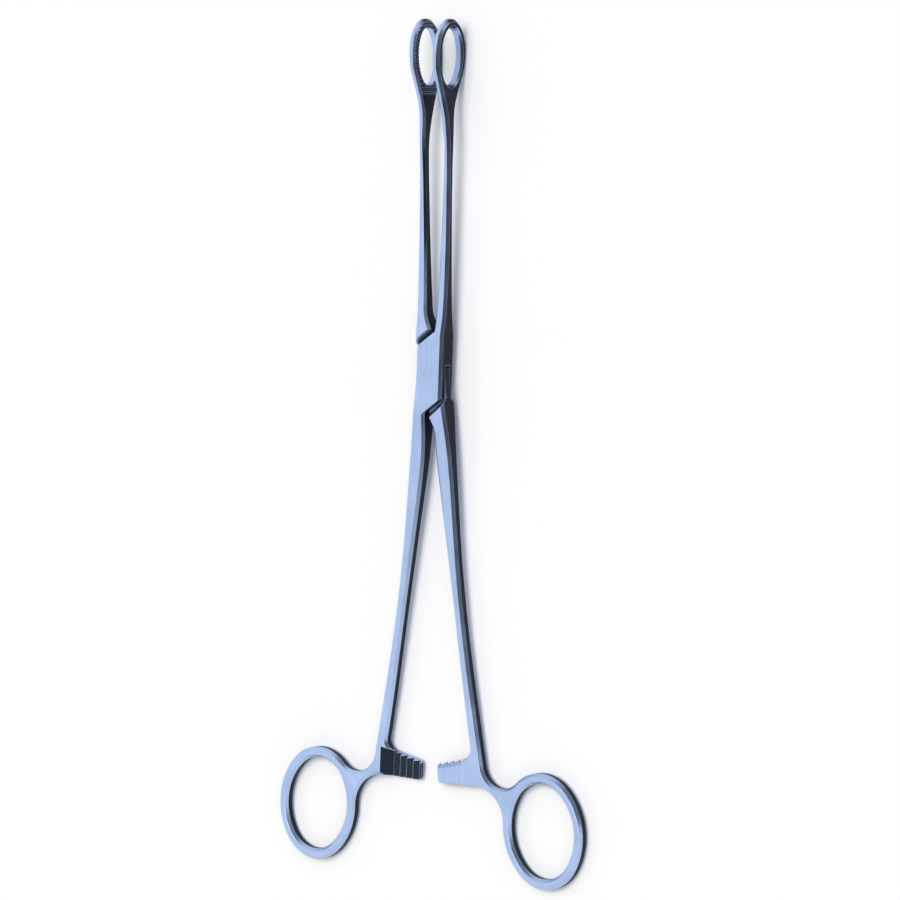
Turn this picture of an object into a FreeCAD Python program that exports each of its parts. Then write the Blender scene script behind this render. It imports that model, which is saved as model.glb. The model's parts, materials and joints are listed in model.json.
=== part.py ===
import FreeCAD
import Part

import math
import os

# Sponge forceps, straight pattern: two forged halves that cross in a box lock and turn on one pin.
# Each half is drawn closed, with its handle on the left and its jaw on the right, and the pin at the
# origin: X across the instrument, Y from the pin to the jaws, Z along the pin. The half with the
# tongue is then mirrored. Both are turned apart to the slightly open position of rest.

# Overall reach
TIP_REACH = 98.8            # pin to the tip of the jaws
RING_REACH = 126.9          # pin to the middle of the finger rings, along the instrument
RING_OFFSET = 35.7          # middle of a finger ring from the midline, closed
HALF_OPENING = 1.9          # degrees that each half stands open at rest
FULL_OPENING = 50.0         # degrees between the halves when the tongue meets its stop

# Box lock
BOX_WIDTH = 9.1
BOX_THICKNESS = 6.1
BOX_STRAIGHT = 10.0         # the sides of the box are straight this far from the pin
CHEEK_REACH = 8.25          # pin to the slanting end of a cheek
CHEEK_SLANT = 37.0          # degrees from straight across
TONGUE_THICKNESS = 2.0
SHOULDER_RAMP = 1.6         # length of the bevel that leads from the tongue up to full thickness
SHOULDER_CLEARANCE = 0.25   # tongue shoulder to cheek, closed
SIDE_CLEARANCE = 0.05       # tongue to each cheek
STOP_CLEARANCE = 0.12       # edge of the tongue to the end walls of its slot
PIN_DIAMETER = 2.6
PIN_RUNNING_CLEARANCE = 0.04
PIN_CHAMFER = 0.12

# Shanks
SHANK_GAP = 2.3             # between the shanks beside the lock, closed
SHANK_BLEND = 18.0          # pin to the place where the inner edges run free of the lock
HANDLE_END_RISE = 25.3      # middle of the finger rings up to the end of the curved handle
HANDLE_LEAN = 8.5           # degrees that the end of the handle leans outwards
HANDLE_END_INSET = 10.7     # inner edge from the midline there
HANDLE_END_WIDTH = 3.5
HANDLE_DEPTH = 3.3
LONG_BEVEL = 0.8            # bevel along the edges of handles, rings, lock and jaws

# Distance from the midline along the handle, closed, as (share of the way down it, offset)
HANDLE_OUTER = [(0.147, 5.65), (0.324, 7.0), (0.49, 7.95), (0.657, 9.4), (0.833, 11.65)]
HANDLE_INNER = [(0.343, 2.5), (0.49, 4.35), (0.657, 6.4), (0.833, 8.5)]
# Half of the depth along the handle as (distance below the pin, half depth)
HANDLE_HALF_DEPTH = [(15.0, 2.65), (22.0, 2.1), (32.0, 1.8)]
HANDLE_TAPER_END = 45.0
# The same along the jaw shank, as shares of the way from the pin up to the face of the jaw
JAW_SHANK_HALF_DEPTH = [(0.19, 2.4), (0.255, 1.95), (0.35, 1.6), (0.49, 1.3), (0.65, 1.2), (0.78, 1.3)]
JAW_SHANK_OUTER = [(0.275, 4.42), (0.495, 4.05), (0.73, 3.5), (0.895, 2.95)]

# Jaws
JAW_WIDTH = 13.4            # across the oval
JAW_THICKNESS = 2.5
JAW_WIDEST = 9.6            # tip to the widest place
# Outline of the neck of the oval as (distance below the tip, half width)
JAW_NECK = [(15.2, 5.9), (20.7, 3.85), (24.6, 2.55), (31.5, 1.65)]
JAW_FACE_BLEND = 15.0       # length over which the shank comes in to the face of the jaw
WINDOW_WIDTH = 9.0
WINDOW_LENGTH = 16.2
WINDOW_RIM = 2.4            # tip of the jaw to the window
WINDOW_BEVEL = 0.6          # bevel round the window on the outside
WINDOW_BREAK = 0.25         # broken edge of the window on the serrated side
SERRATIONS = 19             # ridges across the face of each jaw
SERRATION_PITCH = 1.07
SERRATION_DEPTH = 0.4
SERRATION_LAND = 0.12       # flat left on each crest
JAW_CLEARANCE = 0.12        # between the interleaved serrations, closed

# Finger rings
RING_HALF_WIDTH = 10.65     # of the opening
RING_HALF_HEIGHT = 13.3
RING_END_RADIUS = 9.2       # of the arcs at the two ends of the opening
RING_BAND = 3.0
RING_TILT = 6.4             # degrees that the top of a ring leans towards the midline, closed
VALLEY_RADIUS = 6.8         # between ring and handle
HOLLOW_RADIUS = 9.6         # between ring and ratchet arm

# Ratchet
RATCHET_RISE = 11.2         # middle of the finger rings up to the lower edge of the arms
RATCHET_TIP_HEIGHT = 5.7
RATCHET_SLOPE = 10.5        # degrees that the upper edge falls towards the tip
RATCHET_LAP = 1.0           # how far the two arms pass each other, closed
RATCHET_PITCH = 2.3
RATCHET_TEETH = 5
RATCHET_TOOTH_HEIGHT = 0.75
RATCHET_FIRST_TOOTH = 0.7   # tip of the arm to the crest of its first tooth
RATCHET_CLEARANCE = 0.1     # between the crests of the two arms
RATCHET_RUN_OUT = 3.6       # length of the slope that leads from the last tooth up to full depth
RATCHET_GRIND = 0.35        # bevel over the teeth, measured beyond their height
RATCHET_ROOT_RADIUS = 3.0   # between arm and handle
RATCHET_TIP_RADIUS = 1.2

# Worked out from the sizes above
HALF_BOX = BOX_WIDTH / 2
HALF_GAP = SHANK_GAP / 2
HANDLE_END = RING_REACH - HANDLE_END_RISE
RATCHET_BOTTOM = RING_REACH - RATCHET_RISE
BEYOND = 80.0               # how far cutting shapes and blanks run past the metal
AXIS = FreeCAD.Vector(0, 0, 1)
JAW_CREST = (JAW_CLEARANCE - SERRATION_DEPTH) / 2
JAW_BACK = JAW_CREST + JAW_THICKNESS
FACE_START = TIP_REACH - (SERRATIONS + 1) * SERRATION_PITCH
TINY = 0.001


def at(x, y, z=0.0):
    return FreeCAD.Vector(x, y, z)


def direction(degrees):
    return at(math.cos(math.radians(degrees)), math.sin(math.radians(degrees)))


def line(start, end):
    return Part.LineSegment(start, end).toShape()


def arc(start, middle, end):
    return Part.Arc(start, middle, end).toShape()


def spline(points, first, last):
    curve = Part.BSplineCurve()
    curve.interpolate(Points=points, InitialTangent=first, FinalTangent=last)
    return curve.toShape()


def turned(shape, degrees):
    copy = shape.copy()
    copy.rotate(at(0, 0), AXIS, degrees)
    return copy


def outline(edges):
    return Part.Face(Part.Wire(Part.__sortEdges__(edges)))


def polygon(points):
    return Part.Face(Part.makePolygon(points + [points[0]]))


def through(face, axis=AXIS):
    # A prism that runs the same way past both sides of the face
    moved = face.copy()
    moved.translate(axis * -BEYOND)
    return moved.extrude(axis * (2 * BEYOND))


# Lock: the slanting end of a cheek is a line at CHEEK_REACH from the pin
CHEEK_NORMAL = direction(CHEEK_SLANT - 90)


def cheek_point(x):
    return at(x, (CHEEK_REACH - x * CHEEK_NORMAL.x) / CHEEK_NORMAL.y)


# The corner where that end meets the handle's inner edge. A flank from this corner touches the circle
# about the pin that rounds the tongue, FLANK degrees from the middle of the box's side.
CORNER = cheek_point(-HALF_GAP)
FLANK_RUN = math.sqrt(CORNER.Length ** 2 - HALF_BOX ** 2)
FLANK = math.degrees(math.atan2(-CORNER.y, -CORNER.x)) - math.degrees(math.atan2(FLANK_RUN, HALF_BOX))


def box_side():
    # Side of the half with the box: straight down, along the end of the cheek and into the handle
    low = cheek_point(HALF_BOX)
    return [line(at(HALF_BOX, 0), low), line(low, CORNER), line(CORNER, at(-HALF_GAP, -SHANK_BLEND))]


def tongue_side():
    # Side of the half with the tongue: round the pin, down the flank and into the handle
    leave = direction(-FLANK) * HALF_BOX
    down = direction(-FLANK - 90)
    end = leave + down * FLANK_RUN
    blend = spline([end, at(-HALF_GAP, -SHANK_BLEND)], down * CHEEK_REACH, at(0, -CHEEK_REACH))
    return [arc(at(HALF_BOX, 0), direction(-FLANK / 2) * HALF_BOX, leave), line(leave, end), blend]


# The end of the handle runs straight down to the lower edge of the ratchet arm
LEAN = direction(-90 - HANDLE_LEAN)
END_RUN = (RATCHET_BOTTOM - HANDLE_END) / -LEAN.y
INNER_END = at(-HANDLE_END_INSET, -HANDLE_END)
OUTER_END = INNER_END - at(HANDLE_END_WIDTH, 0)


def handle_edges():
    down = at(0, -HANDLE_END)
    outer = [at(-HALF_BOX, 0)] + [at(-x, -share * HANDLE_END) for share, x in HANDLE_OUTER] + [OUTER_END]
    inner = [at(-HALF_GAP, -SHANK_BLEND)] + [at(-x, -share * HANDLE_END) for share, x in HANDLE_INNER]
    inner += [INNER_END]
    low_outer = OUTER_END + LEAN * END_RUN
    low_inner = INNER_END + LEAN * END_RUN
    curves = [spline(outer, down, LEAN * HANDLE_END), spline(inner, down, LEAN * HANDLE_END)]
    return curves + [line(OUTER_END, low_outer), line(low_outer, low_inner), line(low_inner, INNER_END)]


def jaw_edges():
    # Both edges run past the tip, which the side view cuts to its oval
    up = at(0, TIP_REACH)
    short_up = at(0, JAW_FACE_BLEND)
    top = TIP_REACH + BEYOND
    outer = [at(HALF_BOX, BOX_STRAIGHT)] + [at(x, share * FACE_START) for share, x in JAW_SHANK_OUTER]
    outer += [at(JAW_BACK, FACE_START)]
    inner = [at(HALF_GAP, FACE_START - JAW_FACE_BLEND), at(JAW_CREST, FACE_START)]
    curves = [spline(outer, up, up), spline(inner, short_up, short_up)]
    straights = [line(at(HALF_BOX, 0), outer[0]), line(inner[0], at(HALF_GAP, SHANK_BLEND))]
    ends = [at(JAW_BACK, FACE_START), at(JAW_BACK, top), at(JAW_CREST, top), at(JAW_CREST, FACE_START)]
    return curves + straights + [line(a, b) for a, b in zip(ends, ends[1:])]


# Finger ring: an oval of four arcs that run smoothly into each other
RING_CENTRE = at(-RING_OFFSET, -RING_REACH)
END_SHIFT = RING_HALF_HEIGHT - RING_END_RADIUS
SIDE_DROP = RING_HALF_WIDTH - RING_END_RADIUS
SIDE_RADIUS = (RING_HALF_WIDTH ** 2 + END_SHIFT ** 2 - RING_END_RADIUS ** 2) / (2 * SIDE_DROP)
SIDE_SHIFT = SIDE_RADIUS - RING_HALF_WIDTH


def on_ring(x, y):
    # A point given about the middle of the ring, along its own two axes
    return RING_CENTRE + turned(Part.Vertex(at(x, y)), -RING_TILT).Point


def ring_oval(band):
    spread = math.hypot(SIDE_SHIFT, END_SHIFT)
    join_x = (SIDE_RADIUS + band) * SIDE_SHIFT / spread - SIDE_SHIFT
    join_y = (SIDE_RADIUS + band) * END_SHIFT / spread
    wide = RING_HALF_WIDTH + band
    high = RING_HALF_HEIGHT + band
    corners = [(join_x, join_y), (-join_x, join_y), (-join_x, -join_y), (join_x, -join_y)]
    joins = [on_ring(x, y) for x, y in corners]
    tops = [on_ring(0, high), on_ring(-wide, 0), on_ring(0, -high), on_ring(wide, 0)]
    return outline([arc(a, b, c) for a, b, c in zip(joins, tops, joins[1:] + joins[:1])])


def tangent_arc(point, along, away, centre, circle_radius, radius):
    # The arc that runs smoothly from a line to a circle: where it leaves the line, its middle, and
    # where it meets the circle. It lies on the side of the line that the vector away points to.
    start = point + away * radius - centre
    reach = circle_radius + radius
    step = -start.dot(along) - math.sqrt(start.dot(along) ** 2 - start.dot(start) + reach ** 2)
    middle = centre + start + along * step
    on_line = middle - away * radius
    on_circle = centre + (middle - centre) * (circle_radius / reach)
    halfway = (on_line + on_circle) * 0.5 - middle
    return [on_line, middle + halfway.normalize() * radius, on_circle]


def bow_web():
    # The metal that joins handle, ratchet arm and ring, with a smooth hollow above and below
    valley = tangent_arc(OUTER_END, LEAN, direction(180 - HANDLE_LEAN), on_ring(0, END_SHIFT),
                         RING_END_RADIUS + RING_BAND, VALLEY_RADIUS)
    hollow = tangent_arc(at(0, -RATCHET_BOTTOM), at(-1, 0), at(0, -1), on_ring(-SIDE_SHIFT, 0),
                         SIDE_RADIUS + RING_BAND, HOLLOW_RADIUS)
    edges = [arc(*valley), line(valley[2], RING_CENTRE), line(RING_CENTRE, hollow[2])]
    return outline(edges + [arc(*hollow), line(hollow[0], valley[0])])


ARM_TIP = RATCHET_LAP / 2
ARM_FALL = math.tan(math.radians(RATCHET_SLOPE))


def arm_top(x):
    return at(x, RATCHET_TIP_HEIGHT - RATCHET_BOTTOM + (ARM_TIP - x) * ARM_FALL)


def ratchet_blank():
    root = OUTER_END.x
    lower = [at(root, -RATCHET_BOTTOM), at(ARM_TIP, -RATCHET_BOTTOM)]
    return polygon(lower + [arm_top(ARM_TIP), arm_top(root)])


def upright(solid, near):
    # The edge along the pin's direction that stands nearest to a point of the front view
    def distance(edge):
        ends = [v.Point for v in edge.Vertexes]
        if len(ends) < 2 or abs(ends[0].z - ends[-1].z) < BEYOND:
            return math.inf
        return math.hypot(ends[0].x - near.x, ends[0].y - near.y)
    return min(solid.Edges, key=distance)


def arm_corner():
    # Where the upper edge of the arm meets the straight end of the handle's inner edge
    slope = at(-1, ARM_FALL)
    start = arm_top(ARM_TIP) - INNER_END
    step = (start.y * LEAN.x - start.x * LEAN.y) / (slope.x * LEAN.y - slope.y * LEAN.x)
    return arm_top(ARM_TIP) + slope * step


def front_view(side):
    half_turn = [turned(edge, 180) for edge in side]
    body = through(outline(handle_edges() + jaw_edges() + side + half_turn))
    parts = [through(face) for face in (ring_oval(RING_BAND), bow_web(), ratchet_blank())]
    blank = body.fuse(parts).removeSplitter()
    blank = blank.makeFillet(RATCHET_ROOT_RADIUS, [upright(blank, arm_corner())])
    for corner in (at(ARM_TIP, -RATCHET_BOTTOM), arm_top(ARM_TIP)):
        blank = blank.makeFillet(RATCHET_TIP_RADIUS, [upright(blank, corner)])
    return blank.cut(through(ring_oval(0)))


def side_view():
    # Depth of the half along its length, drawn in the plane through the pin
    across = at(0, 1, 0)
    low = -RING_REACH - RING_HALF_HEIGHT - BEYOND
    handle = HANDLE_DEPTH / 2
    box = BOX_THICKNESS / 2
    widest = TIP_REACH - JAW_WIDEST
    lower = [at(0, -HANDLE_TAPER_END, handle)] + [at(0, -y, z) for y, z in reversed(HANDLE_HALF_DEPTH)]
    lower += [at(0, -BOX_STRAIGHT, box)]
    upper = [at(0, BOX_STRAIGHT, box)] + [at(0, share * FACE_START, z) for share, z in JAW_SHANK_HALF_DEPTH]
    upper += [at(0, TIP_REACH - d, z) for d, z in reversed(JAW_NECK)] + [at(0, widest, JAW_WIDTH / 2)]
    front = [line(at(0, low, handle), lower[0]), spline(lower, across * BEYOND, across * BEYOND)]
    front += [line(lower[-1], upper[0]), spline(upper, across * TIP_REACH, across * TIP_REACH)]
    back = [edge.mirror(at(0, 0), AXIS) for edge in front]
    tip = arc_of_tip(widest)
    return through(outline(front + back + [tip, line(at(0, low, -handle), at(0, low, handle))]), at(1, 0))


def arc_of_tip(widest):
    centre = at(0, widest)
    half = JAW_WIDTH / 2
    if JAW_WIDEST > half:
        oval = Part.Ellipse(at(0, TIP_REACH), centre + at(0, 0, half), centre)
        return Part.Edge(oval, -math.pi / 2, math.pi / 2)
    oval = Part.Ellipse(centre + at(0, 0, half), at(0, TIP_REACH), centre)
    return Part.Edge(oval, 0, math.pi)


def window():
    half = at(0, WINDOW_LENGTH / 2)
    centre = at(0, TIP_REACH - WINDOW_RIM) - half
    oval = Part.Ellipse(centre + half, centre + at(0, 0, WINDOW_WIDTH / 2), centre)
    return through(Part.Face(Part.Wire(oval.toShape())), at(1, 0))


def is_long(edge):
    # Long edges lie where the front view's outline meets the side view's surfaces
    box = edge.BoundBox
    along_pin = box.XLength < TINY and box.YLength < TINY
    across = box.YLength < TINY and box.ZLength < TINY
    return not (along_pin or across)


def on_cheek_end(edge):
    reach = [abs(v.Point.dot(CHEEK_NORMAL)) for v in edge.Vertexes]
    return max(abs(r - CHEEK_REACH) for r in reach) < TINY


def middle_of(edge):
    return edge.valueAt((edge.FirstParameter + edge.LastParameter) / 2)


def bevelled(blank):
    edges = [edge for edge in blank.Edges if is_long(edge) and not on_cheek_end(edge)]
    return blank.makeChamfer(LONG_BEVEL, edges)


def slab(low, high):
    size = high - low
    return Part.makeBox(size.x, size.y, size.z, low)


def with_window(half):
    # The window's edges are well bevelled on the outside and just broken on the serrated side
    open_half = half.cut(window())
    rings = [edge for edge in open_half.Edges if edge.isClosed() and edge.BoundBox.YLength > WINDOW_WIDTH]
    outside = [edge for edge in rings if abs(middle_of(edge).x - JAW_BACK) < TINY]
    inside = [edge for edge in rings if abs(middle_of(edge).x - JAW_CREST) < TINY]
    inside = [min(inside, key=lambda edge: edge.Length)]
    outside = [min(outside, key=lambda edge: edge.Length)]
    return open_half.makeChamfer(WINDOW_BEVEL, outside).makeChamfer(WINDOW_BREAK, inside)


def serrations(shift):
    # Grooves across the face of a jaw. The other jaw has its grooves half a pitch further, so that
    # the crests of one come into the grooves of the other. Below the last groove the face is lower.
    half = (SERRATION_PITCH - SERRATION_LAND) / 2
    clear = JAW_CREST - JAW_THICKNESS
    cuts = []
    for ridge in range(SERRATIONS + 1):
        y = TIP_REACH - (ridge + shift) * SERRATION_PITCH
        groove = [at(clear, y - half), at(JAW_CREST, y - half), at(JAW_CREST + SERRATION_DEPTH, y)]
        groove += [at(JAW_CREST, y + half), at(clear, y + half)]
        cuts.append(through(polygon(groove)))
    low = at(clear, FACE_START - JAW_FACE_BLEND, -JAW_WIDTH)
    cuts.append(slab(low, at(JAW_CLEARANCE / 2, y, JAW_WIDTH)))
    return cuts


def ratchet_step(facing):
    # What is cut from one side of the arm: half of its depth, and the gaps between its teeth. Each
    # tooth is steep towards the handle and slopes towards the tip of the arm. Above, the cut goes no
    # further than the line of the arm's upper edge, so it ends under the front of the handle.
    crest = -RATCHET_CLEARANCE / 2
    floor = crest - RATCHET_TOOTH_HEIGHT
    first = ARM_TIP - RATCHET_FIRST_TOOTH
    last = first - (RATCHET_TEETH - 1) * RATCHET_PITCH
    profile = [(last - RATCHET_RUN_OUT, HANDLE_DEPTH / 2), (last, floor), (last, crest)]
    for tooth in reversed(range(RATCHET_TEETH - 1)):
        x = first - tooth * RATCHET_PITCH
        profile += [(x, floor), (x, crest)]
    profile += [(x + RATCHET_PITCH, floor), (x + RATCHET_PITCH, HANDLE_DEPTH)]
    profile += [(last - RATCHET_RUN_OUT, HANDLE_DEPTH)]
    low = -RATCHET_BOTTOM - RATCHET_TIP_HEIGHT
    step = polygon([at(x, low, z * facing) for x, z in profile]).extrude(at(0, BEYOND))
    tip = arm_top(ARM_TIP + BEYOND)
    root = arm_top(ARM_TIP - BEYOND)
    return step.cut(through(polygon([tip, root, root + at(0, 2 * BEYOND)])))


def arm_bevel(start):
    # What is cut from the upper edge of an arm: a bevel at 45 degrees that begins at this depth in
    # the arm's top and comes forward and down
    tip = arm_top(ARM_TIP + HANDLE_DEPTH)
    root = arm_top(arm_corner().x + RATCHET_ROOT_RADIUS)
    reach = [(HANDLE_DEPTH, start - HANDLE_DEPTH), (-HANDLE_DEPTH, start + HANDLE_DEPTH)]
    reach += [(HANDLE_DEPTH, start + HANDLE_DEPTH)]
    return polygon([tip + at(0, rise, z) for rise, z in reach]).extrude(root - tip)


def lock_slot():
    # The slot for the tongue runs through the box from side to side. Two walls close it: one flank
    # lies along the tongue when the jaws are closed, the other stops the tongue when they are open.
    reach = HALF_BOX + STOP_CLEARANCE
    spread = (FULL_OPENING - FLANK) / 2
    peak = direction(180 + FLANK + spread) * (reach / math.cos(math.radians(spread)))
    closed = direction(FLANK - 90) * BEYOND
    opened = direction(FULL_OPENING + 90) * BEYOND
    wall = through(polygon([peak, peak + closed, peak + closed + opened, peak + opened]))
    half_height = TONGUE_THICKNESS / 2 + SIDE_CLEARANCE
    room = at(BOX_WIDTH, SHANK_BLEND, half_height)
    return slab(room * -1, room).cut([wall, turned(wall, 180)])


def shoulder_pockets():
    # What is cut from the front and the back of the other half to leave its tongue. The ends of both
    # pockets are bevels that lie beside the slanting ends of the cheeks.
    root = CHEEK_REACH + SHOULDER_CLEARANCE
    low = TONGUE_THICKNESS / 2
    rise = BOX_THICKNESS - low
    out = root + SHOULDER_RAMP * rise / (BOX_THICKNESS / 2 - low)
    corners = [(-root, low), (root, low), (out, low + rise), (-out, low + rise)]
    front = through(polygon([CHEEK_NORMAL * s + AXIS * z for s, z in corners]), direction(CHEEK_SLANT))
    return [front, front.mirror(at(0, 0), AXIS)]


def pin_bore(clearance):
    return Part.makeCylinder(PIN_DIAMETER / 2 + clearance, 2 * BEYOND, at(0, 0, -BEYOND))


def make_box_half():
    # Its ratchet arm lies behind the other one, with the teeth to the front
    half = bevelled(front_view(box_side()).common(side_view()))
    over_teeth = arm_bevel(-RATCHET_TOOTH_HEIGHT - RATCHET_GRIND)
    cuts = serrations(0.0) + [ratchet_step(1), over_teeth, lock_slot(), pin_bore(0.0)]
    return turned(with_window(half).cut(cuts), -HALF_OPENING)


def make_tongue_half():
    # Its ratchet arm lies in front, with the teeth to the back and a slanting upper edge
    half = bevelled(front_view(tongue_side()).common(side_view()))
    cuts = serrations(0.5) + [ratchet_step(-1), arm_bevel(0.0)]
    half = with_window(half).cut(cuts).mirror(at(0, 0), at(1, 0))
    return turned(half.cut(shoulder_pockets() + [pin_bore(PIN_RUNNING_CLEARANCE)]), HALF_OPENING)


def make_lock_pin():
    # A rivet ground flush with the two faces of the box
    pin = Part.makeCylinder(PIN_DIAMETER / 2, BOX_THICKNESS, at(0, 0, -BOX_THICKNESS / 2))
    rims = [edge for edge in pin.Edges if edge.BoundBox.ZLength < TINY]
    return pin.makeChamfer(PIN_CHAMFER, rims)


def main():
    pieces = {"box_half": make_box_half(), "tongue_half": make_tongue_half(), "lock_pin": make_lock_pin()}
    whole = Part.makeCompound(list(pieces.values())).optimalBoundingBox(False, False)
    # Origin: the middle of the underside of the forceps as they lie at rest
    place = at(-(whole.XMin + whole.XMax) / 2, -(whole.YMin + whole.YMax) / 2, -whole.ZMin)
    print("size", whole.XLength, whole.YLength, whole.ZLength, "pin at", place)
    os.makedirs("parts", exist_ok=True)
    for name, piece in pieces.items():
        piece.translate(place)
        print(name, piece.isValid(), len(piece.Solids), len(piece.Faces), piece.Volume)
        piece.exportStep("parts/" + name + ".step")


main()
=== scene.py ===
import json
import math

import bmesh
import bpy
import numpy as np
from mathutils import Matrix, Vector


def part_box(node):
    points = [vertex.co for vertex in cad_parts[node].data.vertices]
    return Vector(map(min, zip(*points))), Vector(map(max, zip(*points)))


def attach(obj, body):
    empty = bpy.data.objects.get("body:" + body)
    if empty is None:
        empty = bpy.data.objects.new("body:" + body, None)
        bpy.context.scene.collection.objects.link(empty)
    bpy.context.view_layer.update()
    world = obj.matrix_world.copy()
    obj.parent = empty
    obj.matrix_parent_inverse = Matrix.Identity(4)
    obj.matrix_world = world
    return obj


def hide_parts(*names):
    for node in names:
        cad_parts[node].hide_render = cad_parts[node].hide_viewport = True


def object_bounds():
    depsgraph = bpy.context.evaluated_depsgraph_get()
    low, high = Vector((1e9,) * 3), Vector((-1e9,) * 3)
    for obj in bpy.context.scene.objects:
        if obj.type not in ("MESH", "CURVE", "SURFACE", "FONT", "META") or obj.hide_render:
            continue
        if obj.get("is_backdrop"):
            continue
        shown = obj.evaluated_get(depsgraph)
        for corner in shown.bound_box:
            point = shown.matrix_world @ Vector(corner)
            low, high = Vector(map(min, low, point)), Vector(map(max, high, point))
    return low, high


# %% [markdown]
# # Sponge forceps in satin steel
#
# A pair of straight sponge forceps is three pieces of steel: a half whose middle is a slotted box, a
# half that passes through that box as a thin tongue, and the rivet that both turn on. The packed
# model already holds their exact shapes, so this lesson is about everything that makes steel look
# like steel: shading that is smooth where the real piece is polished round, a finish with a
# direction, edges that hands have rubbed bright, and light that shows all of that.

# %% Load the frame
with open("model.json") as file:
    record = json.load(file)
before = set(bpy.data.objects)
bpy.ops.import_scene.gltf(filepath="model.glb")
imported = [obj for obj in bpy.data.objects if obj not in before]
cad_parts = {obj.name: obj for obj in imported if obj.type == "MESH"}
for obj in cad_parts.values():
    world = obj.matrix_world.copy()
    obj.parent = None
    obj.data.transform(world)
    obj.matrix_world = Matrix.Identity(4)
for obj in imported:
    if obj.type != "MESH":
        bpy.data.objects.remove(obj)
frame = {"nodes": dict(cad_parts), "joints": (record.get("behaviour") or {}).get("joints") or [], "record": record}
CAD_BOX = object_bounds()
BOX_HALF = frame["nodes"]["box_half"]
TONGUE_HALF = frame["nodes"]["tongue_half"]
HINGE = frame["joints"][0]
PIN = Vector(HINGE["pos_m"])
MM = 0.001
CAD_LOW, CAD_HIGH = [[round(v / MM, 2) for v in corner] for corner in CAD_BOX]
print("box from", CAD_LOW, "to", CAD_HIGH, "mm")
print("pin at", [round(v / MM, 2) for v in PIN], "mm")

# %% [markdown]
# ## Where things are
#
# The finish follows the piece: it runs along the shanks, and round and round on the finger rings.
# A shader needs to know where the rings are for that. The record lists every opening that the
# forceps are used for as a box, so the middle of a ring is the middle of its finger loop's box.
# Reading it there means that nothing has to be measured twice.


# %% Middles of the finger rings
def opening_middle(name):
    boxes = [o["box_m"] for o in frame["record"]["physics"]["openings"] if o["name"] == name]
    return (Vector(boxes[0][0]) + Vector(boxes[0][1])) / 2


LEFT_RING = opening_middle("finger_loop_left")
RIGHT_RING = opening_middle("finger_loop_right")
RING_ZONE = 19.5 * MM
print("rings at", [round(v / MM, 1) for v in LEFT_RING], [round(v / MM, 1) for v in RIGHT_RING], "mm")

# %% [markdown]
# ## Small helpers for shader trees
#
# A finish is a tree of nodes, and most of its lines would be the same few calls again and again.
# A few short helpers keep each material readable: add makes a node, put joins two sockets or sets
# one to a number, sum_of, times and vector_of do sums, mapped turns one range of values into
# another, and noise gives a cloudy pattern. The rivet's geometry tree uses them too.


# %% Helpers for trees
def add(tree, kind, **settings):
    node = tree.nodes.new(kind)
    for name, value in settings.items():
        setattr(node, name, value)
    return node


def put(tree, value, socket):
    if isinstance(value, bpy.types.NodeSocket):
        tree.links.new(value, socket)
    else:
        socket.default_value = value


def sum_of(tree, operation, *values):
    node = add(tree, "ShaderNodeMath", operation=operation)
    for value, socket in zip(values, node.inputs):
        put(tree, value, socket)
    return node.outputs[0]


def times(tree, value, other):
    return sum_of(tree, "MULTIPLY", value, other)


def vector_of(tree, operation, *values):
    node = add(tree, "ShaderNodeVectorMath", operation=operation)
    for value, socket in zip(values, node.inputs):
        put(tree, value, socket)
    return node.outputs["Value"] if operation in ("DOT_PRODUCT", "LENGTH") else node.outputs["Vector"]


def mapped(tree, value, low, high, to_low, to_high):
    node = add(tree, "ShaderNodeMapRange")
    for name, number in (("From Min", low), ("From Max", high), ("To Min", to_low), ("To Max", to_high)):
        node.inputs[name].default_value = number
    put(tree, value, node.inputs["Value"])
    return node.outputs["Result"]


def noise(tree, vector, scale, detail=2.0, roughness=0.5):
    node = add(tree, "ShaderNodeTexNoise")
    node.inputs["Scale"].default_value = scale
    node.inputs["Detail"].default_value = detail
    node.inputs["Roughness"].default_value = roughness
    put(tree, vector, node.inputs["Vector"])
    return node.outputs["Fac"]


print("helpers", [helper.__name__ for helper in (add, put, sum_of, times, vector_of, mapped, noise)])

# %% [markdown]
# ## The grain of the steel
#
# Each half is ground on a belt and then satin finished, which leaves fine lines along its length. On
# a finger ring the belt goes round the band instead. Both are the same stretched noise: only the
# coordinates differ. Along a shank they are plain object coordinates, squeezed across and stretched
# along. On a ring they are the distance from its middle and the way round it. A soft step between
# the two, where the ring leaves the shank, hides the change.


# %% Coordinates that follow the grain
GRAIN_LENGTH = 7.0 * MM
GRAIN_WIDTH = 0.16 * MM
FULLY_ROUND = 0.9 * RING_ZONE


def ring_grain(tree, place, middle):
    """Coordinates round one ring, and how far a point lies from the middle of that ring."""
    local = vector_of(tree, "SUBTRACT", place, tuple(middle))
    split = add(tree, "ShaderNodeSeparateXYZ")
    put(tree, local, split.inputs[0])
    x, y, z = split.outputs
    flat = vector_of(tree, "MULTIPLY", local, (1.0, 1.0, 0.0))
    out = vector_of(tree, "LENGTH", flat)
    way = sum_of(tree, "ARCTAN2", y, x)
    joined = add(tree, "ShaderNodeCombineXYZ")
    put(tree, sum_of(tree, "DIVIDE", out, GRAIN_WIDTH), joined.inputs[0])
    put(tree, times(tree, way, RING_ZONE / GRAIN_LENGTH), joined.inputs[1])
    put(tree, sum_of(tree, "DIVIDE", z, GRAIN_WIDTH), joined.inputs[2])
    return joined.outputs[0], out


def grain(tree, place, ring_middle):
    """Coordinates in which one step is a line's width across the grain and its length along it."""
    along = vector_of(tree, "DIVIDE", place, (GRAIN_WIDTH, GRAIN_LENGTH, GRAIN_WIDTH))
    if ring_middle is None:
        return along
    around, out = ring_grain(tree, place, ring_middle)
    mix = add(tree, "ShaderNodeMix", data_type="VECTOR")
    put(tree, mapped(tree, out, RING_ZONE, FULLY_ROUND, 0.0, 1.0), mix.inputs["Factor"])
    put(tree, along, mix.inputs[4])
    put(tree, around, mix.inputs[5])
    return mix.outputs[1]


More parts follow.
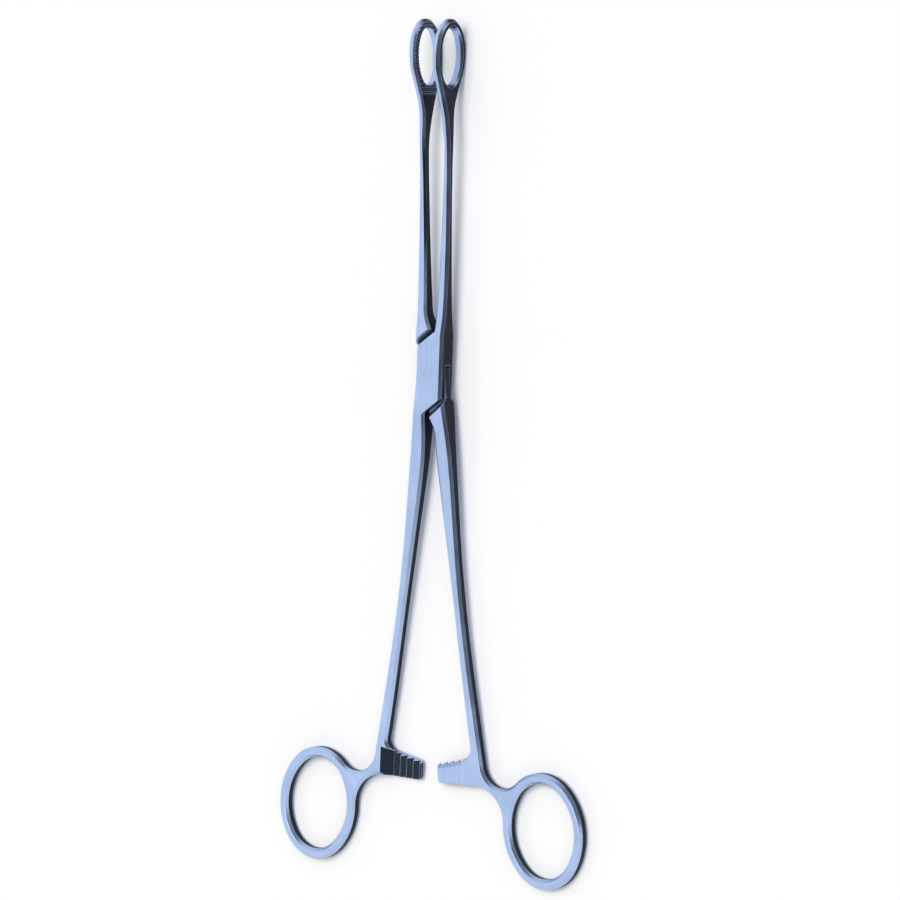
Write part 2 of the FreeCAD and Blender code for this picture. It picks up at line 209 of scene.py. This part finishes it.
print("lines", GRAIN_LENGTH / MM, "by", GRAIN_WIDTH / MM, "mm")
print("they go round the rings up to", FULLY_ROUND / MM, "mm from the middle")

# %% [markdown]
# ## Painted shade on the sides and teeth
#
# The narrow sides, the gripping faces and the slopes of the ratchet's teeth get painted shade: their
# colour is darkened to near black, as if they lay in shadow, and they are made a little rougher. The
# object's own normal tells which they are: on a side it has next to nothing along the pin, and only
# on a tooth does a face that looks forward lean a little to the left or right.


# %% Mask for the painted shade on sides and teeth
NARROW_SIDES = (0.55, 0.25)
LOOKS_FORWARD = (0.78, 0.82)
LEANS = (0.2, 0.27)


def painted_side_shade_mask(tree, normal):
    """1 on the narrow sides and tooth slopes, where shade is painted, 0 elsewhere."""
    split = add(tree, "ShaderNodeSeparateXYZ")
    put(tree, normal, split.inputs[0])
    forward = sum_of(tree, "ABSOLUTE", split.outputs["Z"])
    sideways = sum_of(tree, "ABSOLUTE", split.outputs["X"])
    narrow_sides = mapped(tree, forward, *NARROW_SIDES, 0.0, 1.0)
    leans = mapped(tree, sideways, *LEANS, 0.0, 1.0)
    tooth_slopes = times(tree, leans, mapped(tree, forward, *LOOKS_FORWARD, 0.0, 1.0))
    return sum_of(tree, "MAXIMUM", narrow_sides, tooth_slopes)


# The painted shade comes in where a face turns this far off the pin.
STEEPNESS = [round(math.degrees(math.acos(share))) for share in NARROW_SIDES]
print("skin comes in where a face turns from", STEEPNESS[0], "to", STEEPNESS[1], "degrees off the pin")

# %% [markdown]
# ## Rubbed edges, and painted shade in grooves
#
# Edges that rub in the hand and in the tray are brighter and smoother. The Bevel node gives a rounded
# normal, and where that departs from the surface's own normal there is an edge. The light follows
# the rounded normal too, so no edge looks as sharp as paper. Grooves and corners, which Ambient
# Occlusion finds, are made rougher, and their colour is darkened as painted shade. Neither needs a
# single extra face.


# %% Masks for edges and grooves
EDGE_ROUNDING = 0.2 * MM
EDGE_FACING = (0.99, 0.9)
GROOVE_REACH = 0.9 * MM
GROOVE_OPEN = (0.75, 0.3)


def rubbed_edges(tree):
    """The rounded normal, and 1 along the edges."""
    rounded = add(tree, "ShaderNodeBevel", samples=6)
    rounded.inputs["Radius"].default_value = EDGE_ROUNDING
    surface = add(tree, "ShaderNodeNewGeometry")
    facing = vector_of(tree, "DOT_PRODUCT", rounded.outputs[0], surface.outputs["Normal"])
    return rounded.outputs[0], mapped(tree, facing, *EDGE_FACING, 0.0, 1.0)


def groove_roughness_and_painted_shade(tree):
    """1 deep in a groove or corner, where the colour gets painted shade."""
    open_air = add(tree, "ShaderNodeAmbientOcclusion", samples=8)
    open_air.inputs["Distance"].default_value = GROOVE_REACH
    return mapped(tree, open_air.outputs["AO"], *GROOVE_OPEN, 0.0, 1.0)


print("edges rounded by", EDGE_ROUNDING / MM, "mm, grooves looked for within", GROOVE_REACH / MM, "mm")

# %% [markdown]
# ## Satin steel
#
# The finish is one metal under those masks. Grinding lines lie in its bump and in its roughness, and
# slow, cloudy patches, left by cleaning and steam, shift colour and roughness a little. All of it is
# in two tables: for each pattern, what it gives where it is absent and where it is full, first for
# the light of the colour and then for the roughness. The colour is the cool blue of the picture, so
# white light on it renders as that blue. One function makes the steel of both halves and of the
# rivet, so they can't drift apart.


# %% What each pattern does
STEEL_BLUE = (0.413, 0.533, 0.799)
LIGHT = {
    "clouds": (0.93, 1.03),
    "streaks": (-0.05, 0.05),
    "worn": (0.0, 0.16),
    # Painted shade: the colour in grooves and corners is darkened by up to 60 percent.
    "rough_and_painted_shade": (0.0, -0.6),
}
ROUGHNESS = {
    "lines": (0.28, 0.38),
    "clouds": (-0.03, 0.04),
    "worn": (0.0, -0.1),
    "rough_and_painted_shade": (0.0, 0.2),
    "painted_side_shade": (0.0, 0.12),
}


def summed(tree, table, patterns):
    total = 0.0
    for name, (absent, full) in table.items():
        total = sum_of(tree, "ADD", total, mapped(tree, patterns[name], 0.0, 1.0, absent, full))
    return total


print("roughness of plain steel", ROUGHNESS["lines"], "and what a rubbed edge adds", ROUGHNESS["worn"][1])


# %% The material
CLOUD_SIZE = 9.0 * MM
LINE_DEPTH = 0.01 * MM
# How much of the colour the painted shade on the narrow sides and tooth slopes leaves.
PAINTED_SHADE_LIGHT = 0.045


def satin_steel(name, ring_middle):
    material = bpy.data.materials.new(name)
    material.use_nodes = True
    tree = material.node_tree
    shader = tree.nodes["Principled BSDF"]
    shader.inputs["Metallic"].default_value = 1.0
    where = add(tree, "ShaderNodeTexCoord").outputs
    place = where["Object"]
    lines = noise(tree, grain(tree, place, ring_middle), 1.0, 4.0, 0.7)
    streaks = noise(tree, grain(tree, place, ring_middle), 0.2, 2.0)
    rounded, worn = rubbed_edges(tree)
    unworn = sum_of(tree, "SUBTRACT", 1.0, worn)
    patterns = {
        "lines": mapped(tree, lines, 0.25, 0.75, 0.0, 1.0),
        "streaks": mapped(tree, streaks, 0.3, 0.7, 0.0, 1.0),
        "clouds": mapped(tree, noise(tree, place, 1 / CLOUD_SIZE, 3.0), 0.3, 0.7, 0.0, 1.0),
        "worn": worn,
        # Grooves and corners: rougher, and with painted shade in their colour.
        "rough_and_painted_shade": groove_roughness_and_painted_shade(tree),
        # Painted shade on the narrow sides and tooth slopes, kept off the rubbed edges.
        "painted_side_shade": times(tree, painted_side_shade_mask(tree, where["Normal"]), unworn),
    }
    put(tree, summed(tree, ROUGHNESS, patterns), shader.inputs["Roughness"])

    # Painted shade: the narrow sides and tooth slopes are darkened to near black, as if in shadow.
    painted_shade_dims = mapped(tree, patterns["painted_side_shade"], 0.0, 1.0, 1.0, PAINTED_SHADE_LIGHT)
    tint = add(tree, "ShaderNodeVectorMath", operation="SCALE")
    put(tree, STEEL_BLUE, tint.inputs[0])
    put(tree, times(tree, summed(tree, LIGHT, patterns), painted_shade_dims), tint.inputs["Scale"])
    put(tree, tint.outputs["Vector"], shader.inputs["Base Color"])

    bump = add(tree, "ShaderNodeBump")
    bump.inputs["Strength"].default_value = 0.5
    bump.inputs["Distance"].default_value = LINE_DEPTH
    put(tree, lines, bump.inputs["Height"])
    put(tree, rounded, bump.inputs["Normal"])
    put(tree, bump.outputs[0], shader.inputs["Normal"])
    return material


LEFT_STEEL = satin_steel("satin_steel_left", LEFT_RING)
RIGHT_STEEL = satin_steel("satin_steel_right", RIGHT_RING)
PIN_STEEL = satin_steel("turned_steel", None)
print("materials", [m.name for m in (LEFT_STEEL, RIGHT_STEEL, PIN_STEEL)])

# %% [markdown]
# ## The two halves
#
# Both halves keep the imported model's own mesh, because its shape is already the real one, down to
# the serrations and the ratchet's teeth. Its normals come with it: smooth inside each curved face
# and sharp along every ground edge. So the halves only get their finish.


# %% Dress the halves
def dress(node, material):
    node.data.materials.clear()
    node.data.materials.append(material)


dress(BOX_HALF, LEFT_STEEL)
dress(TONGUE_HALF, RIGHT_STEEL)
print("triangles", {o.name: len(o.data.polygons) for o in (BOX_HALF, TONGUE_HALF)})
print("normals of their own", [o.data.has_custom_normals for o in (BOX_HALF, TONGUE_HALF)])

# %% [markdown]
# ## Helpers for geometry trees
#
# Geometry Nodes make what follows a rule. They need two things more than a material does: inputs
# with names, so that the same tree makes other sizes, and a plain mesh at the end. The modifier is
# evaluated once and its result kept, so the finished piece carries no tree that could change later.


# %% Helpers for geometry trees
def group_input(tree, name, kind, value):
    socket = tree.interface.new_socket(name, in_out="INPUT", socket_type=kind)
    socket.default_value = value
    return socket.identifier


def with_nodes(name, tree, values):
    """A plain mesh object made by a geometry tree, with its inputs set before it is evaluated."""
    holder = bpy.data.objects.new(name + "_maker", bpy.data.meshes.new(name + "_maker"))
    bpy.context.scene.collection.objects.link(holder)
    modifier = holder.modifiers.new("make", "NODES")
    modifier.node_group = tree
    for identifier, value in values.items():
        modifier[identifier] = value
    ready = holder.evaluated_get(bpy.context.evaluated_depsgraph_get())
    mesh = bpy.data.meshes.new_from_object(ready)
    bpy.data.objects.remove(holder)
    piece = bpy.data.objects.new(name, mesh)
    bpy.context.scene.collection.objects.link(piece)
    return piece


print("helpers", [helper.__name__ for helper in (group_input, with_nodes)])

# %% [markdown]
# ## The rivet as a lathe would make it
#
# The rivet is turned on a lathe, hammered into the box's bore and ground flush with it. Anything
# that a lathe makes follows one rule: a profile, the same all the way round. A flat grid has one
# side that counts round the axis and one that walks along the profile from the middle of the back
# face, over the rim, to the middle of the front face. A Screw modifier could spin a drawn profile
# too, but here the lathe's fine rings on both faces are a wave along that walk, and their number is
# an input. Of the walk from the middle of the side to the middle of a face, a fifth is side and a
# tenth is rim.


# %% The profile of a turned pin
SIDE_ENDS = 0.2
RIM_ENDS = 0.3


def turned_profile(tree, given, walk):
    """Distance from the axis and height, where walk is -1 at the back's middle and 1 at the front's."""
    away = sum_of(tree, "ABSOLUTE", walk)
    side = mapped(tree, away, 0.0, SIDE_ENDS, 0.0, 1.0)
    rim = mapped(tree, away, SIDE_ENDS, RIM_ENDS, 0.0, 1.0)
    face = mapped(tree, away, RIM_ENDS, 1.0, 0.0, 1.0)
    flat = sum_of(tree, "SUBTRACT", given["Radius"], given["Chamfer"])
    out = sum_of(tree, "SUBTRACT", given["Radius"], times(tree, given["Chamfer"], rim))
    out = sum_of(tree, "SUBTRACT", out, times(tree, flat, face))
    phase = times(tree, times(tree, face, given["Face Rings"]), 2 * math.pi)
    wave = sum_of(tree, "SUBTRACT", 0.5, times(tree, sum_of(tree, "COSINE", phase), 0.5))
    straight = sum_of(tree, "SUBTRACT", given["Half Length"], given["Chamfer"])
    height = sum_of(tree, "ADD", times(tree, straight, side), times(tree, given["Chamfer"], rim))
    height = sum_of(tree, "SUBTRACT", height, times(tree, wave, given["Ring Depth"]))
    return out, times(tree, height, sum_of(tree, "SIGN", walk))


print("side up to", SIDE_ENDS, "and rim up to", RIM_ENDS, "of the walk")


# %% The lathe as a tree
SAME_POINT = 0.0005 * MM
LATHE_INPUTS = {
    "Radius": ("NodeSocketFloat", 1.3 * MM),
    "Half Length": ("NodeSocketFloat", 3.05 * MM),
    "Chamfer": ("NodeSocketFloat", 0.03 * MM),
    "Face Rings": ("NodeSocketInt", 4),
    "Ring Depth": ("NodeSocketFloat", 0.004 * MM),
    "Steps Around": ("NodeSocketInt", 48),
    "Profile Steps": ("NodeSocketInt", 80),
}


def lathe_tree(material):
    tree = bpy.data.node_groups.new("lathe", "GeometryNodeTree")
    sizes = {name: group_input(tree, name, *given) for name, given in LATHE_INPUTS.items()}
    tree.interface.new_socket("Mesh", in_out="OUTPUT", socket_type="NodeSocketGeometry")
    given = add(tree, "NodeGroupInput").outputs
    grid = add(tree, "GeometryNodeMeshGrid")
    put(tree, sum_of(tree, "ADD", given["Steps Around"], 1.0), grid.inputs["Vertices X"])
    put(tree, sum_of(tree, "ADD", given["Profile Steps"], 1.0), grid.inputs["Vertices Y"])
    split = add(tree, "ShaderNodeSeparateXYZ")
    put(tree, add(tree, "GeometryNodeInputPosition").outputs[0], split.inputs[0])
    turn = times(tree, split.outputs[0], 2 * math.pi)
    out, height = turned_profile(tree, given, times(tree, split.outputs[1], 2.0))
    point = add(tree, "ShaderNodeCombineXYZ")
    put(tree, times(tree, out, sum_of(tree, "COSINE", turn)), point.inputs[0])
    put(tree, times(tree, out, sum_of(tree, "SINE", turn)), point.inputs[1])
    put(tree, height, point.inputs[2])
    placed = add(tree, "GeometryNodeSetPosition")
    put(tree, grid.outputs["Mesh"], placed.inputs["Geometry"])
    put(tree, point.outputs[0], placed.inputs["Position"])
    merged = add(tree, "GeometryNodeMergeByDistance")
    put(tree, placed.outputs[0], merged.inputs["Geometry"])
    merged.inputs["Distance"].default_value = SAME_POINT
    real = add(tree, "GeometryNodeRealizeInstances")
    put(tree, merged.outputs[0], real.inputs[0])
    painted = add(tree, "GeometryNodeSetMaterial")
    painted.inputs["Material"].default_value = material
    put(tree, real.outputs[0], painted.inputs["Geometry"])
    put(tree, painted.outputs[0], add(tree, "NodeGroupOutput").inputs[0])
    return tree, sizes


LATHE, SIZES = lathe_tree(PIN_STEEL)
print("lathe with", len(LATHE.nodes), "nodes and the inputs", list(SIZES))

# %% [markdown]
# ## Turn the rivet
#
# The rivet's size isn't typed in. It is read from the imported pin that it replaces, so the two can't
# differ. It turns with the half that has the box, because it is riveted to that one.


# %% The rivet
LOW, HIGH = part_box("lock_pin")
RIVET_SIZES = {SIZES["Radius"]: (HIGH.x - LOW.x) / 2, SIZES["Half Length"]: (HIGH.z - LOW.z) / 2}
rivet = with_nodes("lock_rivet", LATHE, RIVET_SIZES)
rivet.data.transform(Matrix.Translation((LOW + HIGH) / 2))
work = bmesh.new()
work.from_mesh(rivet.data)
bmesh.ops.recalc_face_normals(work, faces=work.faces)
work.to_mesh(rivet.data)
work.free()
rivet.data.shade_smooth()
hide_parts("lock_pin")
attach(rivet, "box_body")
print("rivet", len(rivet.data.polygons), "faces,", [round(v / MM, 2) for v in rivet.dimensions], "mm")

# %% [markdown]
# ## How the forceps lie
#
# Laid on a table, the forceps rest on the rims of the jaws, which are the deepest part, and on the
# far ends of the finger rings. Seen from the side that is one straight line under all the points of
# the model, so the floor can be found by the same rule as a ruler pushed up from below: the lower
# hull of the side view, and of its edges the one below the middle of the instrument.


# %% Find the floor
def turns_up(a, b, c):
    return (b[0] - a[0]) * (c[1] - a[1]) > (b[1] - a[1]) * (c[0] - a[0])


def resting_line(nodes):
    points = np.concatenate([np.array([v.co[1:] for v in o.data.vertices]) for o in nodes])
    hull = []
    for point in sorted(map(tuple, points)):
        while len(hull) > 1 and not turns_up(hull[-2], hull[-1], point):
            hull.pop()
        hull.append(point)
    return next((a, b) for a, b in zip(hull, hull[1:]) if b[0] > 0)


RING_SIDE, JAW_SIDE = resting_line((BOX_HALF, TONGUE_HALF))
FLOOR_TILT = math.atan2(JAW_SIDE[1] - RING_SIDE[1], JAW_SIDE[0] - RING_SIDE[0])
print("floor touches at y", [round(p[0] / MM, 1) for p in (RING_SIDE, JAW_SIDE)], "mm")
print("floor leans", round(math.degrees(FLOOR_TILT), 2), "degrees")

# %% [markdown]
# ## Floor
#
# The floor is a large pale sheet, so plain that it never competes with the steel. Its faint mottle
# keeps it from looking like an empty page, and it takes the shadow.


# %% Lay the floor
FLOOR_SIZE = 6.0
FLOOR_CLEARANCE = 0.02 * MM
PAPER = (0.98, 0.985)
MOTTLE_SCALE = 60.0


def pale_paper():
    material = bpy.data.materials.new("pale_paper")
    material.use_nodes = True
    tree = material.node_tree
    shader = tree.nodes["Principled BSDF"]
    place = add(tree, "ShaderNodeTexCoord").outputs["Object"]
    shade = mapped(tree, noise(tree, place, MOTTLE_SCALE, 4.0), 0.3, 0.7, *PAPER)
    whole = add(tree, "ShaderNodeCombineColor")
    for socket in whole.inputs:
        put(tree, shade, socket)
    put(tree, whole.outputs[0], shader.inputs["Base Color"])
    shader.inputs["Roughness"].default_value = 0.9
    shader.inputs["Specular IOR Level"].default_value = 0.1
    return material


sheet = bmesh.new()
bmesh.ops.create_grid(sheet, x_segments=8, y_segments=8, size=FLOOR_SIZE / 2)
floor = bpy.data.objects.new("floor", bpy.data.meshes.new("floor"))
sheet.to_mesh(floor.data)
sheet.free()
floor.data.materials.append(pale_paper())
bpy.context.scene.collection.objects.link(floor)
floor.rotation_euler = (FLOOR_TILT, 0, 0)
floor.location = (0, JAW_SIDE[0], JAW_SIDE[1] - FLOOR_CLEARANCE)
floor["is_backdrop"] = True
print("floor", FLOOR_SIZE, "m wide, paper", PAPER)

# %% [markdown]
# ## Light
#
# Steel shows what is round it. A white room, seen by the camera and in every reflection, makes the
# faces that look up render as the steel's own blue. What the room sheds on the floor is less than
# that, and one soft sun, nearly overhead, makes up the rest, so that the steel has a shadow. From
# there no flat face and no bevel mirrors it into the camera, so nothing glares, and the shadow stays
# close. Room and sun together give the floor just its full white.


# %% Room and sun
def white_room(fill):
    world = bpy.data.worlds.new("white_room")
    world.use_nodes = True
    tree = world.node_tree
    back = tree.nodes["Background"]
    back.inputs["Color"].default_value = (1, 1, 1, 1)
    path = add(tree, "ShaderNodeLightPath").outputs
    seen = sum_of(tree, "MAXIMUM", path["Is Camera Ray"], path["Is Glossy Ray"])
    seen = sum_of(tree, "MAXIMUM", seen, path["Is Transmission Ray"])
    put(tree, mapped(tree, seen, 0.0, 1.0, fill, 1.0), back.inputs["Strength"])
    bpy.context.scene.world = world


def soft_sun(towards, share, spread):
    """A sun that adds the given share of full white on the floor."""
    lamp = bpy.data.lights.new("key_sun", "SUN")
    lamp.angle = math.radians(spread)
    direction = Vector(towards).normalized()
    lamp.energy = share * math.pi / direction.z
    sun = bpy.data.objects.new("key_sun", lamp)
    sun.rotation_euler = direction.to_track_quat("Z", "Y").to_euler()
    bpy.context.scene.collection.objects.link(sun)


FILL = 0.47
SUN_SHARE = 0.55
SUN_FROM = (0.1, 0.28, 0.95)
SUN_SPREAD = 40.0
white_room(FILL)
soft_sun(SUN_FROM, SUN_SHARE, SUN_SPREAD)
print("light on the floor: room", FILL, "+ sun", SUN_SHARE, "=", round(FILL + SUN_SHARE, 2))

# %% [markdown]
# ## Black card
#
# The bevels that face right are drawn black in the picture. A photographer gets that with a black
# card: it stands on the right, out of the picture, and the steel mirrors it. Painting the bevels dark
# would be wrong from every other side. This card is a curved sheet that only reflections see, so it
# takes no light from the floor. It stands close and ends above the finger rings, because the bands
# of the rings are drawn light all over.


# %% Stand the card
CARD_REACH = 0.2
CARD_ENDS = (-0.08, 0.3)
CARD_LOW = -20.0
CARD_HIGH = 103.0
CARD_STEPS = 24
CARD_BLACK = (0.01, 0.01, 0.012, 1)


def black_card():
    material = bpy.data.materials.new("black_card")
    material.use_nodes = True
    shader = material.node_tree.nodes["Principled BSDF"]
    shader.inputs["Base Color"].default_value = CARD_BLACK
    shader.inputs["Roughness"].default_value = 1.0
    shader.inputs["Specular IOR Level"].default_value = 0.0
    angles = np.radians(np.linspace(CARD_LOW, CARD_HIGH, CARD_STEPS + 1))
    arc = [(CARD_REACH * math.cos(angle), CARD_REACH * math.sin(angle)) for angle in angles]
    corners = [(x, y, z) for x, z in arc for y in CARD_ENDS]
    faces = [(2 * i, 2 * i + 1, 2 * i + 3, 2 * i + 2) for i in range(CARD_STEPS)]
    mesh = bpy.data.meshes.new("black_card")
    mesh.from_pydata(corners, [], faces)
    mesh.materials.append(material)
    card = bpy.data.objects.new("black_card", mesh)
    bpy.context.scene.collection.objects.link(card)
    for kind in ("visible_camera", "visible_diffuse", "visible_shadow", "visible_transmission"):
        setattr(card, kind, False)
    card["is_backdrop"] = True


black_card()
print("card from", CARD_LOW, "to", CARD_HIGH, "degrees, seen from the origin along y", CARD_ENDS, "m")

# %% [markdown]
# ## Camera
#
# The picture looks down on the front of the forceps from the right, so that their right-hand sides
# show. The jaws stay on top and the long lens keeps both halves nearly the same size. The angles
# come from a fit of this model to points of the picture.


# %% Place the camera
TURN = math.radians(37.0)
TILT = math.radians(4.85)
ROLL = math.radians(0.582)
DISTANCE = 1.375
LENS = 196.6
FAR_END = 20.0
AIM = PIN + Vector((5.8 * MM, -21.45 * MM, 0))


def aimed_camera():
    back = Vector((math.sin(TURN) * math.cos(TILT), math.sin(TILT), math.cos(TURN) * math.cos(TILT)))
    right = Vector((0, 1, 0)).cross(back).normalized()
    up = back.cross(right)
    turned_right = math.cos(ROLL) * right + math.sin(ROLL) * up
    turned_up = math.cos(ROLL) * up - math.sin(ROLL) * right
    axes = Matrix((turned_right, turned_up, back)).transposed().to_4x4()
    lens = bpy.data.cameras.new("camera")
    lens.lens = LENS
    lens.clip_end = FAR_END
    camera = bpy.data.objects.new("camera", lens)
    camera.matrix_world = Matrix.Translation(AIM + back * DISTANCE) @ axes
    bpy.context.scene.collection.objects.link(camera)
    return camera


bpy.context.scene.camera = aimed_camera()
bpy.context.scene.view_settings.view_transform = "Standard"
print("camera", DISTANCE, "m from", [round(v / MM, 1) for v in AIM], "mm, lens", LENS, "mm")

# %% [markdown]
# ## Sizes and the end
#
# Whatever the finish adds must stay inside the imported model's box, or the piece would no longer fit
# where the record says that it fits.


# %% Measure again and finish
NEW_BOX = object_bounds()
NEW_LOW, NEW_HIGH = [[round(v / MM, 2) for v in corner] for corner in NEW_BOX]
print("new box from", NEW_LOW, "to", NEW_HIGH, "mm")
